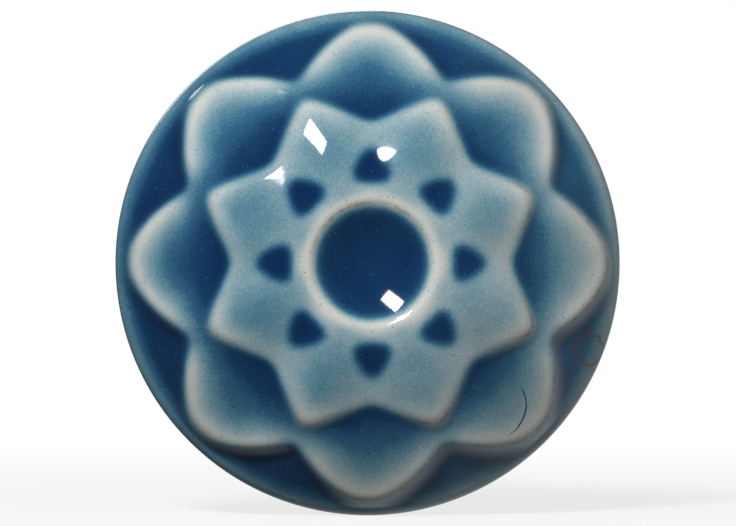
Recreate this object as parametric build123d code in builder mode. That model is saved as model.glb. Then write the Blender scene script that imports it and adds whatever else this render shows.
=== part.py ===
from build123d import *

import os
from math import cos, pi, radians, sin, sqrt, tan

# A ceramic cabinet knob as it hangs on a drawer front. The origin is the centre of the mounting face,
# where the collar meets the drawer. The head faces -Y, the bolt runs out along +Y, and +Z is up.
# A "height" is a distance in front of the mounting face, so it lies at y = -height. Sizes are in mm.

# ---- driving dimensions ----

# head
head_diameter = 42.0
projection = 27.0  # mounting face to the lip round the bowl
rim_radius = 1.6  # round of the head's outer edge
dome_rise = 9.2  # rim's widest plane to the top of the plain dome under the relief
petal_height = 1.0  # outer petals above the plain dome
petal_dish = 0.6  # depth of the hollow inside each outer petal
face_rise = 9.3  # rim's widest plane to the bowl's lip
face_ball_radius = 60.0  # star's face is flatter than the dome
lip_rise = 0.1  # bowl's lip above the star's face
bowl_depth = 1.6  # lip's crest down to the bottom of the bowl
lip_fall = 0.2  # lip's crest down to the bowl's edge
boss_base = 1.0  # ceramic under the bowl that is turned with it
recess_depth = 0.4  # small blind recesses, below the star's face
recess_corner = 0.7
valley_depth = 0.5  # grooves between the star's lobes, at its notches
valley_ball_radius = 5.0  # ball that hollows each groove
underside_slope = 8.0  # degrees that the underside rises towards the rim
neck_diameter = 15.5
neck_fillet = 3.5  # neck into the underside
neck_edge = 0.5  # round of the neck's foot
neck_fillet_limit = 0.65  # most of the neck's height that its fillet may take
neck_edge_limit = 0.3  # most of it that its foot's round may take
socket_depth = 10.2  # blind hole for the bolt's head, from the neck's foot

# relief plan: one drawing, kept as shares of the head's radius, so that it grows with the head
petal_count = 8
petal_tip_share = 0.95
petal_shoulder_share = 0.885
petal_notch_share = 0.773
petal_border_share = 0.075
star_tip_share = 0.70
star_notch_share = 0.56
star_corner_share = 0.05
valley_share = 0.56
recess_apex_share = 0.46
recess_base_share = 0.325
recess_width_share = 0.15
lip_outer_share = 0.31
lip_crest_share = 0.29
bowl_edge_share = 0.245
petal_shoulder_turn = 11.0  # degrees from a petal's middle to its shoulders

# collar and gasket
collar_height = 7.0
flange_diameter = 21.0
flange_thickness = 1.8
waist_diameter = 12.4
cove_share = 0.45  # of the waist's height, for each of the two rounds that make its hollow
cup_lip = 1.6  # straight edge of the cup under the neck
cup_overhang = 0.6  # cup beyond the neck, all round
collar_edge = 0.4
cup_shelf_share = 1.2  # of the edge's round: least flat that the cove leaves under the cup
gasket_thickness = 0.6
gasket_inset = 0.3  # gasket inside the neck's edge, all round

# hardware, in the proportions of a metric hex bolt and its nut
bolt_diameter = 4.0
bolt_length = 50.0  # under the head
hex_width_share = 1.75  # across the flats, of the bolt's diameter
bolt_head_share = 0.7
nut_height_share = 0.8
hex_chamfer = 0.3
bolt_point = 0.5  # chamfer at the bolt's free end
flat_washer_diameter = 12.0
flat_washer_thickness = 1.0
lock_washer_width = 1.7
lock_washer_thickness = 0.9
lock_washer_gap = 0.8

# drawer front that the knob is fixed to
panel_thickness = 18.0

# clearances, radial unless they say otherwise
cement_gap = 0.55  # all round the bolt's head in its socket
collar_clearance = 0.2
gasket_clearance = 0.2
flat_washer_clearance = 0.15
lock_washer_clearance = 0.08
nut_clearance = 0.05
stack_gap = 0.02  # along the bolt, between the nut and the lock washer

# ---- worked out from them ----

head_radius = head_diameter / 2
neck_radius = neck_diameter / 2
bolt_radius = bolt_diameter / 2
petal_step = 360 / petal_count

# The dome is part of a ball that runs tangent into the round of the rim.
rim_centre = head_radius - rim_radius
ball_radius = (rim_centre**2 + dome_rise**2 - rim_radius**2) / (2 * (dome_rise - rim_radius))
rim_height = projection - face_rise
ball_centre = rim_height + dome_rise - ball_radius
crest_radius = lip_crest_share * head_radius
face_ball_centre = projection - lip_rise - sqrt(face_ball_radius**2 - crest_radius**2)
bowl_floor = projection - bowl_depth

neck_foot = collar_height + gasket_thickness
socket_end = neck_foot + socket_depth
hex_corner_radius = hex_width_share * bolt_diameter / 2 / cos(pi / 6)
socket_radius = hex_corner_radius + cement_gap
bolt_head_height = bolt_head_share * bolt_diameter
bolt_seat = socket_end - cement_gap - bolt_head_height
bolt_end = bolt_seat - bolt_length

nut_height = nut_height_share * bolt_diameter
flat_washer_back = -panel_thickness - flat_washer_thickness
lock_washer_back = flat_washer_back - lock_washer_thickness
nut_back = lock_washer_back - stack_gap - nut_height


def facing(height):
    """Sketch plane at this height, facing away from the drawer."""
    return Plane.XZ.offset(height)


def turned(radius, height):
    """Point of a profile on Plane.XY that is revolved about the Y axis."""
    return (radius, -height)


def ball_height(radius, raised=0.0):
    """Height of the dome, raised by a constant thickness, at this distance from the axis."""
    return ball_centre + sqrt((ball_radius + raised) ** 2 - radius**2)


def face_height(radius):
    """Height of the star's face at this distance from the axis."""
    return face_ball_centre + sqrt(face_ball_radius**2 - radius**2)


def plan(share, degrees):
    """Point of the relief plan, from its share of the head's radius and its angle."""
    reach = share * head_radius
    return (reach * cos(radians(degrees)), reach * sin(radians(degrees)))


def corners_at(radius):
    """Corners of the turned profile in hand that lie at this radius, the one nearest the front first."""
    touch = 1e-4
    return vertices().filter_by_position(Axis.X, radius - touch, radius + touch).sort_by(Axis.Y)


def dome_cap(height_at):
    """Solid under a dome, given by its height at each radius, that trims the relief's tiers."""
    edge = head_radius - rim_radius / 2
    top = turned(0, height_at(0))
    side = turned(edge, height_at(edge))
    between = turned(edge / 2, height_at(edge / 2))
    with BuildPart() as cap:
        with BuildSketch(Plane.XY):
            with BuildLine():
                ThreePointArc(top, between, side)
                Polyline(side, turned(edge, neck_foot), turned(0, neck_foot), top)
            make_face()
        revolve(axis=Axis.Y)
    return cap.part


def petal_outline(border):
    """One line round all the outer petals, drawn in from their edge by a border."""
    tip = petal_tip_share - border
    shoulder = petal_shoulder_share - border
    notch = petal_notch_share - border
    for index in range(petal_count):
        middle = index * petal_step
        before = middle - petal_step / 2
        after = middle + petal_step / 2
        ThreePointArc(plan(notch, before), plan(shoulder, middle - petal_shoulder_turn), plan(tip, middle))
        ThreePointArc(plan(tip, middle), plan(shoulder, middle + petal_shoulder_turn), plan(notch, after))


def petal_block(border, raised):
    """Space inside the petals' outline, up to the raised dome."""
    cap = dome_cap(lambda radius: ball_height(radius, raised))
    with BuildPart() as block:
        with BuildSketch(facing(rim_height)):
            with BuildLine():
                petal_outline(border)
            make_face()
        extrude(amount=projection - rim_height)
        add(cap, mode=Mode.INTERSECT)
    return block.part


def petal_tier():
    """Outer petals: a raised border round a shallow hollow."""
    rim_block = petal_block(0, petal_height)
    hollow_block = petal_block(petal_border_share, petal_height)
    floor_block = petal_block(petal_border_share, petal_height - petal_dish)
    with BuildPart() as tier:
        add(rim_block)
        add(hollow_block, mode=Mode.SUBTRACT)
        add(floor_block)
    return tier.part


def star_tier():
    """Inner star: blunt lobes between the petals, with a shallow groove from each notch."""
    cap = dome_cap(face_height)
    corners = []
    for index in range(petal_count):
        corners.append(plan(star_notch_share, index * petal_step))
        corners.append(plan(star_tip_share, (index + 0.5) * petal_step))
    valley_reach = valley_share * head_radius
    valley_centre = face_height(valley_reach) - valley_depth + valley_ball_radius
    with BuildPart() as tier:
        with BuildSketch(facing(rim_height)):
            with BuildLine():
                Polyline(*corners, close=True)
            make_face()
            fillet(vertices(), radius=star_corner_share * head_radius)
        extrude(amount=projection - rim_height)
        add(cap, mode=Mode.INTERSECT)
        with Locations(facing(valley_centre)):
            with PolarLocations(valley_reach, petal_count):
                Sphere(valley_ball_radius, mode=Mode.SUBTRACT)
    return tier.part


def hex_blank(back, thickness):
    """Hexagon with its corners turned off at both faces."""
    with BuildPart() as disc:
        with BuildSketch(facing(back)):
            Circle(hex_corner_radius)
        extrude(amount=thickness)
        chamfer(edges().filter_by(GeomType.CIRCLE), length=hex_chamfer)
    with BuildPart() as blank:
        with BuildSketch(facing(back)):
            RegularPolygon(hex_corner_radius, 6)
        extrude(amount=thickness)
        add(disc.part, mode=Mode.INTERSECT)
    return blank.part


def washer(back, thickness, bore, outer):
    """Flat ring on the bolt's axis."""
    with BuildPart() as ring:
        with BuildSketch(facing(back)):
            Circle(outer)
            Circle(bore, mode=Mode.SUBTRACT)
        extrude(amount=thickness)
    return ring.part


# ---- pieces ----

os.makedirs("parts", exist_ok=True)

# glazed ceramic head: turned body, then its relief, then the bowl and its lip
slope = radians(underside_slope)
rim_under = (rim_centre + rim_radius * sin(slope), rim_height - rim_radius * cos(slope))
underside_start = rim_under[1] - (rim_under[0] - neck_radius) * tan(slope)
neck_height = underside_start - neck_foot
neck_fillet_room = neck_fillet_limit * neck_height * tan(pi / 4 + slope / 2)
neck_edge_room = neck_edge_limit * neck_height
lean = rim_radius / (ball_radius - rim_radius)
rim_top = (rim_centre * (1 + lean), rim_height + (rim_height - ball_centre) * lean)
dome_middle = (rim_top[0] / 2, ball_height(rim_top[0] / 2))
petals = petal_tier()
star = star_tier()
lip_outer = lip_outer_share * head_radius
bowl_edge = bowl_edge_share * head_radius
boss_foot = bowl_floor - boss_base
lip_side = turned(lip_outer, face_height(lip_outer))
lip_inside = turned(bowl_edge, projection - lip_fall)
bowl_rise = bowl_depth - lip_fall
bowl_ball = (bowl_edge**2 + bowl_rise**2) / (2 * bowl_rise)
bowl_wall = turned(bowl_edge / 2, bowl_floor + bowl_ball - sqrt(bowl_ball**2 - bowl_edge**2 / 4))
recess_reach = (recess_apex_share + recess_base_share) / 2 * head_radius
recess_half = (recess_apex_share - recess_base_share) / 2 * head_radius
recess_side = recess_width_share / 2 * head_radius
recess_floor = face_height(recess_reach) - recess_depth

with BuildPart() as knob_head:
    with BuildSketch(Plane.XY):
        with BuildLine():
            Polyline(
                turned(0, ball_height(0)),
                turned(0, neck_foot),
                turned(neck_radius, neck_foot),
                turned(neck_radius, underside_start),
                turned(*rim_under),
            )
            ThreePointArc(turned(*rim_under), turned(head_radius, rim_height), turned(*rim_top))
            ThreePointArc(turned(*rim_top), turned(*dome_middle), turned(0, ball_height(0)))
        make_face()
        fillet(corners_at(neck_radius)[0], radius=min(neck_fillet, neck_fillet_room))
        fillet(corners_at(neck_radius)[-1], radius=min(neck_edge, neck_edge_room))
    revolve(axis=Axis.Y)
    add(petals)
    add(star)
    with BuildSketch(facing(recess_floor)):
        with PolarLocations(recess_reach, petal_count):
            Polygon((recess_half, 0), (-recess_half, recess_side), (-recess_half, -recess_side))
        fillet(vertices(), radius=recess_corner)
    extrude(amount=projection - recess_floor, mode=Mode.SUBTRACT)
    with BuildSketch(facing(boss_foot)):
        Circle(lip_outer)
    extrude(amount=projection - boss_foot, mode=Mode.SUBTRACT)
    with BuildSketch(Plane.XY):
        with BuildLine():
            Polyline(turned(0, bowl_floor), turned(0, boss_foot), turned(lip_outer, boss_foot), lip_side)
            ThreePointArc(lip_side, turned(crest_radius, projection), lip_inside)
            ThreePointArc(lip_inside, bowl_wall, turned(0, bowl_floor))
        make_face()
    revolve(axis=Axis.Y)
    with BuildSketch(facing(neck_foot)):
        Circle(socket_radius)
    extrude(amount=socket_depth, mode=Mode.SUBTRACT)
knob_head.part.label = "knob_head"
export_step(knob_head.part, "parts/knob_head.step")

# mounting bolt, set in the head's socket head first
bolt_head = hex_blank(bolt_seat, bolt_head_height)
with BuildPart() as mounting_bolt:
    with BuildSketch(facing(bolt_end)):
        Circle(bolt_radius)
    extrude(amount=bolt_length)
    chamfer(faces().sort_by(Axis.Y)[-1].edges(), length=bolt_point)
    add(bolt_head)
mounting_bolt.part.label = "mounting_bolt"
export_step(mounting_bolt.part, "parts/mounting_bolt.step")

# cement that fills the socket round the bolt's head
with BuildPart() as cement_fill:
    with BuildSketch(facing(neck_foot)):
        Circle(socket_radius)
    extrude(amount=socket_depth)
    add(mounting_bolt.part, mode=Mode.SUBTRACT)
cement_fill.part.label = "cement_fill"
export_step(cement_fill.part, "parts/cement_fill.step")

# rubber gasket between the neck and the collar
with BuildPart() as seat_gasket:
    add(washer(collar_height, gasket_thickness, bolt_radius + gasket_clearance, neck_radius - gasket_inset))
seat_gasket.part.label = "seat_gasket"
export_step(seat_gasket.part, "parts/seat_gasket.step")

# turned collar: flange on the drawer front, waist, and a cup under the neck
bore_radius = bolt_radius + collar_clearance
flange_radius = flange_diameter / 2
waist_radius = waist_diameter / 2
cup_radius = neck_radius + cup_overhang
cup_foot = collar_height - cup_lip
cup_shelf = cup_shelf_share * collar_edge
cove_radius = min(cove_share * (cup_foot - flange_thickness), cup_radius - waist_radius - cup_shelf)
with BuildPart() as base_collar:
    with BuildSketch(Plane.XY):
        with BuildLine():
            Polyline(
                turned(bore_radius, 0),
                turned(flange_radius, 0),
                turned(flange_radius, flange_thickness),
                turned(waist_radius, flange_thickness),
                turned(waist_radius, cup_foot),
                turned(cup_radius, cup_foot),
                turned(cup_radius, collar_height),
                turned(bore_radius, collar_height),
                close=True,
            )
        make_face()
        fillet(corners_at(waist_radius), radius=cove_radius)
        fillet(corners_at(cup_radius), radius=collar_edge)
        fillet(corners_at(flange_radius), radius=collar_edge)
    revolve(axis=Axis.Y)
base_collar.part.label = "base_collar"
export_step(base_collar.part, "parts/base_collar.step")

# washers and nut inside the drawer
with BuildPart() as flat_washer:
    add(washer(flat_washer_back, flat_washer_thickness, bolt_radius + flat_washer_clearance,
               flat_washer_diameter / 2))
flat_washer.part.label = "flat_washer"
export_step(flat_washer.part, "parts/flat_washer.step")

lock_washer_bore = bolt_radius + lock_washer_clearance
lock_washer_middle = lock_washer_bore + lock_washer_width / 2
with BuildPart() as lock_washer:
    add(washer(lock_washer_back, lock_washer_thickness, lock_washer_bore,
               lock_washer_bore + lock_washer_width))
    with BuildSketch(facing(lock_washer_back)):
        with Locations((0, lock_washer_middle)):
            Rectangle(lock_washer_gap, 2 * lock_washer_width)
    extrude(amount=lock_washer_thickness, mode=Mode.SUBTRACT)
lock_washer.part.label = "lock_washer"
export_step(lock_washer.part, "parts/lock_washer.step")

nut_blank = hex_blank(nut_back, nut_height)
with BuildPart() as hex_nut:
    add(nut_blank)
    with BuildSketch(facing(nut_back)):
        Circle(bolt_radius + nut_clearance)
    extrude(amount=nut_height, mode=Mode.SUBTRACT)
hex_nut.part.label = "hex_nut"
export_step(hex_nut.part, "parts/hex_nut.step")
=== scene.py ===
from math import cos, pi, radians, sin, sqrt, tan

import bmesh
import bpy
import numpy as np
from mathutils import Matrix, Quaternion, Vector


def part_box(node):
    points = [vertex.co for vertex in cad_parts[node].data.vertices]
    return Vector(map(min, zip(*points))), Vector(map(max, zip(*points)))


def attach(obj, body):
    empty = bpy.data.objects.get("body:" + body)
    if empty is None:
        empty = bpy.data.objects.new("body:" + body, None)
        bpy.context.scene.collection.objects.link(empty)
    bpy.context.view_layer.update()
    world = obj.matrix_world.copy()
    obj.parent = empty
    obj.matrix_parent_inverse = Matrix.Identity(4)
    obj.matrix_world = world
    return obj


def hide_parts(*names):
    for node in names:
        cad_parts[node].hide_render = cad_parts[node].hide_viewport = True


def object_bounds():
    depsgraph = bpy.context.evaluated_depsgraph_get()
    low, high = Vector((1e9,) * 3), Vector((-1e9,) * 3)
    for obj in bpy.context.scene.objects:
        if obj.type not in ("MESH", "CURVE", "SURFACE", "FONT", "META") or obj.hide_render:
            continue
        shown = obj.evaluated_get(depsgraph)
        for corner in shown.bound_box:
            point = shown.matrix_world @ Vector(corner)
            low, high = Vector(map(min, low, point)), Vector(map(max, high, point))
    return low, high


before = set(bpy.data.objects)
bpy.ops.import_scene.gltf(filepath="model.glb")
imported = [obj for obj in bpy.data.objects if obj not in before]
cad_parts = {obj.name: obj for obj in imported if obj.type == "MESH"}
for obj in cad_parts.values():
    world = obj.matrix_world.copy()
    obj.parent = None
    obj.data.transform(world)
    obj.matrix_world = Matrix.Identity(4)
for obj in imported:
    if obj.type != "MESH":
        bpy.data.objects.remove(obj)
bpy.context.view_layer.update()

# A glazed ceramic cabinet knob. Its face looks along -Y and its bolt runs along +Y.
# The head is one mesh: a turned body with a moulded relief, and a glaze whose depth is worked out from
# the relief, because a celadon glaze is pale where it runs thin over an edge and dark where it pools.
# At the foot of the star's wall the glaze is made deeper as painted shade, and a brown line paints the
# shadow inside the bowl, under its upper lip.

MM = 0.001

# ---- sizes, from the frame ----

head_low, head_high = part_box("knob_head")
collar_low, collar_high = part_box("base_collar")
gasket_low, gasket_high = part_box("seat_gasket")
bolt_low, bolt_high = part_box("mounting_bolt")
washer_low, washer_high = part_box("flat_washer")
lock_low, lock_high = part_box("lock_washer")
nut_low, nut_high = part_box("hex_nut")

HEAD_RADIUS = (head_high[0] - head_low[0]) / 2
FRONT = -head_low[1]  # heights are measured towards the front, so y is minus the height
NECK_FOOT = -head_high[1]
BOLT_END = bolt_high[1]

# ---- the head's turned body ----

RIM_ROUND = 1.6 * MM
DOME_RISE = 9.2 * MM  # rim's widest plane to the top of the plain dome
FACE_RISE = 9.3 * MM  # rim's widest plane to the star's level face
NECK_RADIUS = 7.75 * MM
NECK_FILLET = 3.5 * MM
NECK_EDGE = 0.5 * MM
SOCKET_RADIUS = 4.59 * MM
SOCKET_DEPTH = 10.2 * MM
UNDERSIDE_SLOPE = radians(8)
RIM_CENTRE = HEAD_RADIUS - RIM_ROUND
BALL_RADIUS = (RIM_CENTRE**2 + DOME_RISE**2 - RIM_ROUND**2) / (2 * (DOME_RISE - RIM_ROUND))
rim_height = FRONT - FACE_RISE
ball_centre = rim_height + DOME_RISE - BALL_RADIUS

# ---- the relief's plan, in head radii, and its heights ----

PETALS = 8
STEP = 2 * pi / PETALS
WOBBLE = 0.0035  # unevenness of the plan
# Each outline zigzags between a corner on the petals' axes and one on the lobes' axes.
# bow: how far its sides swell outwards; point, notch: how much its corners are rounded
PETAL_EDGE = dict(at_petal=0.980, at_lobe=0.757, bow=0.032, point=0.052, notch=0.018)
STAR_EDGE = dict(at_petal=0.543, at_lobe=0.701, bow=0.010, point=0.018, notch=0.018)
RECESS_BASE = 0.326
RECESS_APEX = 0.444
RECESS_HALF = 0.062
RECESS_BOW = 0.012
RECESS_ROUND = 0.013
RECESS_SWELL = 0.7  # of the corners' round, given back to the outline
BOWL_EDGE = 0.249
LIP_OUTER = 0.268  # the pale lip round the bowl ends here
WALL_SOFTNESS = 0.019  # how far the glaze rounds the moulded edges
LIP_SOFTNESS = 0.009  # same, at the bowl's lip
PETAL_FOOT = 0.012  # petals' walls lean outwards by this much
PETAL_RIM = 1.15 * MM  # above the plain dome
PETAL_FALL = 0.95 * MM  # down from the petal's rim to its hollow by the star
PETAL_FALL_LENGTH = 0.16
MEET_DIP = 0.28 * MM  # rim's dip where two petals meet
MEET_REACH = 0.075
STAR_LEVEL = 0.265  # star's face is level out to here, then it droops
STAR_DROOP = 0.66  # of the squared distance beyond that, in head radii
STAR_PILLOW = 1.40  # of the squared distance from a lobe's axis, in head radii
PILLOW_FROM = 0.290  # distance out at which the lobes start to swell
PILLOW_FULL = 0.48  # and from which they have all of it
FLAT_SIDE = radians(150)  # direction in which the valleys were pressed shallower
FLAT_SIDE_SPREAD = radians(30)
FLAT_SIDE_LOSS = 0.86
RECESS_DEPTH = 0.16 * MM
RECESS_SOFTNESS = 0.022
BOWL_DEPTH = 1.55 * MM

# ---- glaze depth: 0 is a thin, pale edge and 1 is a deep pool ----

GROUND_DEPTH = 0.78
GROUND_FOOT_POOL = 0.08  # more, at the foot of the petals' walls
GROUND_FOOT_REACH = 0.055
RIM_THINNING = 0.42  # less, towards the head's outer edge
RIM_THINNING_FROM = 0.9
PETAL_EDGE_DEPTH = 0.12
PETAL_POOL = 0.73
PETAL_BAND = 0.024  # width of the pale band inside a petal's edge
PETAL_POOL_LENGTH = 0.142
PETAL_DEEPEST = 0.93
FOOT_POOL_AND_SHADE = 0.18  # more, at the foot of the star's wall: glaze pooling there, made deeper as painted shade from the wall
FOOT_REACH = 0.095
MEET_DEPTH = 0.24
STAR_EDGE_DEPTH = 0.12  # at the tips of the lobes
NOTCH_DEPTH = 0.16  # more, in the notches between them
NOTCH_REACH = radians(8)
STAR_POOL = 0.46  # in the middle of a lobe
VALLEY_THINNING = 0.11  # less, in the valleys
STAR_BAND = 0.006
STAR_POOL_LENGTH = 0.058
HUB_THINNING = 0.13  # star's surface, towards the ring
RECESS_POOL = 1.00
RECESS_EDGE = 0.012
RING_DEPTH = 0.09
BOWL_POOL = 0.93
BOWL_POOL_EDGE = 0.221
BOWL_THINNING = 0.20  # towards the lip
BOWL_THINNING_FROM = 0.150
DEPTH_SOFTNESS = 0.0135
THICK_SIDE = radians(165)  # side to which the glaze ran, seen from the front
THICK_SIDE_GAIN = 0.23

# brown line at the crests, and a brown painted shadow inside the bowl, under its upper lip
CREST_LINE_SIDE = radians(-35)  # it is strongest towards here
CREST_LINE_FADE = (-0.1, 0.8)  # cosines of the turn from there at which it starts and is whole
CREST_LINE_INSIDE = 0.004
CREST_LINE_WIDTH = 0.0045
CREST_LINE_SOFTNESS = 0.002
MEET_CLEAR = (0.06, 0.12)  # distances from where two petals meet at which it starts and is whole
LOBE_TIPS = (0.60, 0.66)  # distances out at which it starts and is whole on the star
LIP_SHADOW_OUT = 3  # painted shadow inside the bowl: line widths outside the bowl's pool
LIP_SHADOW_FADE = (-0.05, 0.2)  # heights on the face at which the painted shadow starts and is whole on the lip

# under the head and on the neck
UNDER_DEPTH = 0.50
UNDER_RIM_GAIN = 0.18  # more, towards the rim
UNDER_RUNS = 0.10  # less, where the glaze ran
UNDER_FOOT_THINNING = 0.34
UNDER_FOOT_FADE = (1.0 * MM, 2.2 * MM)  # above the neck's foot
UNDER_LEAN = 0.2  # slope of the cone that parts the face from the underside
GLAZE_LINE = 0.9 * MM  # glaze stops this far above the neck's foot
GLAZE_LINE_WAVER = 0.35 * MM
GLAZE_LINE_SOFTNESS = 0.1 * MM


def fold(u, v):
    """Distance from the axis, and angle from the nearest petal's axis."""
    turn = np.arctan2(v, u)
    return np.hypot(u, v), np.abs((turn + STEP / 2) % STEP - STEP / 2)


def soft_min(a, b, width):
    """The smaller of two fields, with the crease between them rounded."""
    return -width * np.logaddexp(-a / width, -b / width)


def soft_max(a, b, width):
    """The larger of two fields, with the crease between them rounded."""
    return width * np.logaddexp(a / width, b / width)


def side_distance(reach, angle, at_petal, at_lobe, bow):
    """How far a point lies inside one side of a zigzag outline."""
    start = np.array([at_petal, 0.0])
    end = at_lobe * np.array([cos(STEP / 2), sin(STEP / 2)])
    length = np.linalg.norm(end - start)
    along = (end - start) / length
    x = reach * np.cos(angle) - start[0]
    y = reach * np.sin(angle) - start[1]
    share = np.clip((x * along[0] + y * along[1]) / length, 0, 1)
    return -(x * along[1] - y * along[0]) + 4 * bow * share * (1 - share)


def inside(u, v, at_petal, at_lobe, bow, point, notch):
    """How far a point lies inside an outline, in head radii; negative outside it."""
    reach, angle = fold(u, v)
    side = (at_petal, at_lobe, bow)
    own = side_distance(reach, angle, *side)
    across_petal = side_distance(reach, -angle, *side)
    across_lobe = side_distance(reach, STEP - angle, *side)
    if at_petal > at_lobe:
        return soft_max(soft_min(own, across_petal, point), across_lobe, notch)
    return soft_max(soft_min(own, across_lobe, point), across_petal, notch)


def recess_inside(u, v):
    """How far a point lies inside one of the small three-cornered recesses, in head radii."""
    reach, angle = fold(u, v)
    x = reach * np.cos(angle)
    y = reach * np.sin(angle)
    length = sqrt((RECESS_APEX - RECESS_BASE) ** 2 + RECESS_HALF**2)
    share = np.clip((x - RECESS_BASE) / (RECESS_APEX - RECESS_BASE), 0, 1)
    bow = 4 * RECESS_BOW * share * (1 - share)
    lean = (RECESS_APEX - x) * RECESS_HALF
    across = y * (RECESS_APEX - RECESS_BASE)
    flank = soft_min((lean - across) / length, (lean + across) / length, RECESS_ROUND) + bow
    return soft_min(flank, x - RECESS_BASE, RECESS_ROUND) + RECESS_ROUND * RECESS_SWELL


def pool(distance, length):
    """0 at an edge, rising to 1 well inside it, steepest at the edge."""
    return 1 - np.exp(-np.maximum(distance, 0) / length)


def bulge(distance, length):
    """0 at an edge, rising to 1 well inside it, level at the edge."""
    return 1 - np.exp(-((np.maximum(distance, 0) / length) ** 2))


def hump(distance, reach):
    """1 at no distance, falling away on both sides."""
    return np.exp(-((distance / reach) ** 2))


def ramp_up(value, low, high):
    """0 below low, 1 above high, smooth between."""
    share = np.clip((value - low) / (high - low), 0, 1)
    return share * share * (3 - 2 * share)


# ---- the relief as fields on a square grid, in head radii ----

GRID = 1100
SPAN = 1.04
LAST_CELL = GRID - 1.001  # just short of the last grid line
grid_axis = np.linspace(-SPAN, SPAN, GRID)


def blur(field, sigma):
    """Gaussian blur of a grid field, with sigma in head radii."""
    frequency = np.fft.fftfreq(GRID, d=grid_axis[1] - grid_axis[0])
    keep = np.exp(-2 * (pi * sigma * frequency) ** 2)
    return np.real(np.fft.ifft2(np.fft.fft2(field) * keep[:, None] * keep[None, :]))


def read_field(field, u, v):
    """A grid field at any points, by linear interpolation."""
    scale = (GRID - 1) / (2 * SPAN)
    column = np.clip((u + SPAN) * scale, 0, LAST_CELL)
    row = np.clip((v + SPAN) * scale, 0, LAST_CELL)
    c = column.astype(int)
    r = row.astype(int)
    fc = column - c
    fr = row - r
    low = field[r, c] * (1 - fc) + field[r, c + 1] * fc
    high = field[r + 1, c] * (1 - fc) + field[r + 1, c + 1] * fc
    return low * (1 - fr) + high * fr


def hand_pressed(u, v):
    """The plan with the slight unevenness of a pressed and fettled piece: two unrelated waves each way."""
    reach = WOBBLE * np.minimum(np.hypot(u, v), 1)
    du = np.sin(5.1 * v + 0.6) + 0.6 * np.sin(9.3 * u - 2.0 * v + 2.1)
    dv = np.sin(4.7 * u + 2.9) + 0.6 * np.sin(8.1 * v + 3.0 * u + 0.7)
    return u + reach * du, v + reach * dv


u, v = hand_pressed(*np.meshgrid(grid_axis, grid_axis))
reach, angle = fold(u, v)
in_petal = inside(u, v, **PETAL_EDGE)
in_star = inside(u, v, **STAR_EDGE)
in_recess = recess_inside(u, v)
meet_x = reach * np.cos(STEP / 2 - angle) - PETAL_EDGE["at_lobe"]
meeting = np.hypot(meet_x, reach * np.sin(STEP / 2 - angle))


def ball_height(radius):
    """Height of the plain dome above the rim's widest plane."""
    return DOME_RISE - BALL_RADIUS + np.sqrt(BALL_RADIUS**2 - radius**2)


def lobe_pillow():
    """How far the star's surface falls away from the lobes' axes into the valleys."""
    from_axis = np.sin(STEP / 2 - angle)
    to_valley = from_axis / sin(STEP / 2)
    from_flat_side = (np.arctan2(v, u) - FLAT_SIDE + pi) % (2 * pi) - pi
    pillow = STAR_PILLOW * HEAD_RADIUS * (reach * from_axis) ** 2 * (1 - to_valley**2 / 2)
    pillow *= 1 - FLAT_SIDE_LOSS * hump(from_flat_side, FLAT_SIDE_SPREAD)
    return pillow * ramp_up(reach, PILLOW_FROM, PILLOW_FULL)


def moulded_height():
    """Height of the sharp clay surface above the rim's widest plane, in metres."""
    petal = PETAL_RIM - PETAL_FALL * pool(in_petal, PETAL_FALL_LENGTH) - MEET_DIP * hump(meeting, MEET_REACH)
    star = FACE_RISE - STAR_DROOP * HEAD_RADIUS * np.maximum(reach - STAR_LEVEL, 0) ** 2 - lobe_pillow()
    dome = ball_height(np.minimum(reach, SPAN) * HEAD_RADIUS)
    height = dome + np.where(in_petal > -PETAL_FOOT, petal, 0.0)
    height = np.where(in_star > 0, star, height)
    height -= RECESS_DEPTH * blur(in_recess > 0, RECESS_SOFTNESS)
    bowl = FACE_RISE - BOWL_DEPTH * (1 - (reach / BOWL_EDGE) ** 2)
    return np.where(reach < BOWL_EDGE, bowl, height)


def petal_glaze():
    """Glaze depth on the outer petals."""
    depth = PETAL_EDGE_DEPTH + PETAL_POOL * pool(in_petal - PETAL_BAND, PETAL_POOL_LENGTH)
    # glaze pooling at the foot of the star's wall, deepened as painted shade
    depth += FOOT_POOL_AND_SHADE * hump(in_star, FOOT_REACH)
    depth += MEET_DEPTH * hump(meeting, MEET_REACH) * (1 - depth)
    return np.minimum(depth, PETAL_DEEPEST)


def star_glaze():
    """Glaze depth on the star."""
    edge = STAR_EDGE_DEPTH + NOTCH_DEPTH * (1 - ramp_up(angle, NOTCH_REACH, STEP / 2))
    full = STAR_POOL - VALLEY_THINNING * (0.5 + 0.5 * np.cos(PETALS * angle))
    depth = edge + (full - edge) * bulge(in_star - STAR_BAND, STAR_POOL_LENGTH)
    return depth - HUB_THINNING * (1 - ramp_up(reach, LIP_OUTER, RECESS_APEX))


def ground_glaze():
    """Glaze depth between the petals and the rim."""
    depth = GROUND_DEPTH - RIM_THINNING * ramp_up(reach, RIM_THINNING_FROM, 1.0)
    return depth + GROUND_FOOT_POOL * hump(in_petal, GROUND_FOOT_REACH)


def glaze_depth():
    """Glaze depth all over the face."""
    depth = np.where(in_petal > -PETAL_FOOT / 2, petal_glaze(), ground_glaze())
    depth = np.where(in_star > 0, star_glaze(), depth)
    depth += (RECESS_POOL - depth) * blur(in_recess > 0, RECESS_EDGE)
    run = np.cos(np.arctan2(v, u) - THICK_SIDE) * np.minimum(reach, 1)
    depth = depth * (1 + THICK_SIDE_GAIN * run)
    depth = np.where(reach < LIP_OUTER, RING_DEPTH, depth)
    bowl = BOWL_POOL - BOWL_THINNING * ramp_up(reach, BOWL_THINNING_FROM, BOWL_POOL_EDGE)
    depth = np.where(reach < BOWL_POOL_EDGE, bowl, depth)
    return blur(depth, DEPTH_SOFTNESS)


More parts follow.
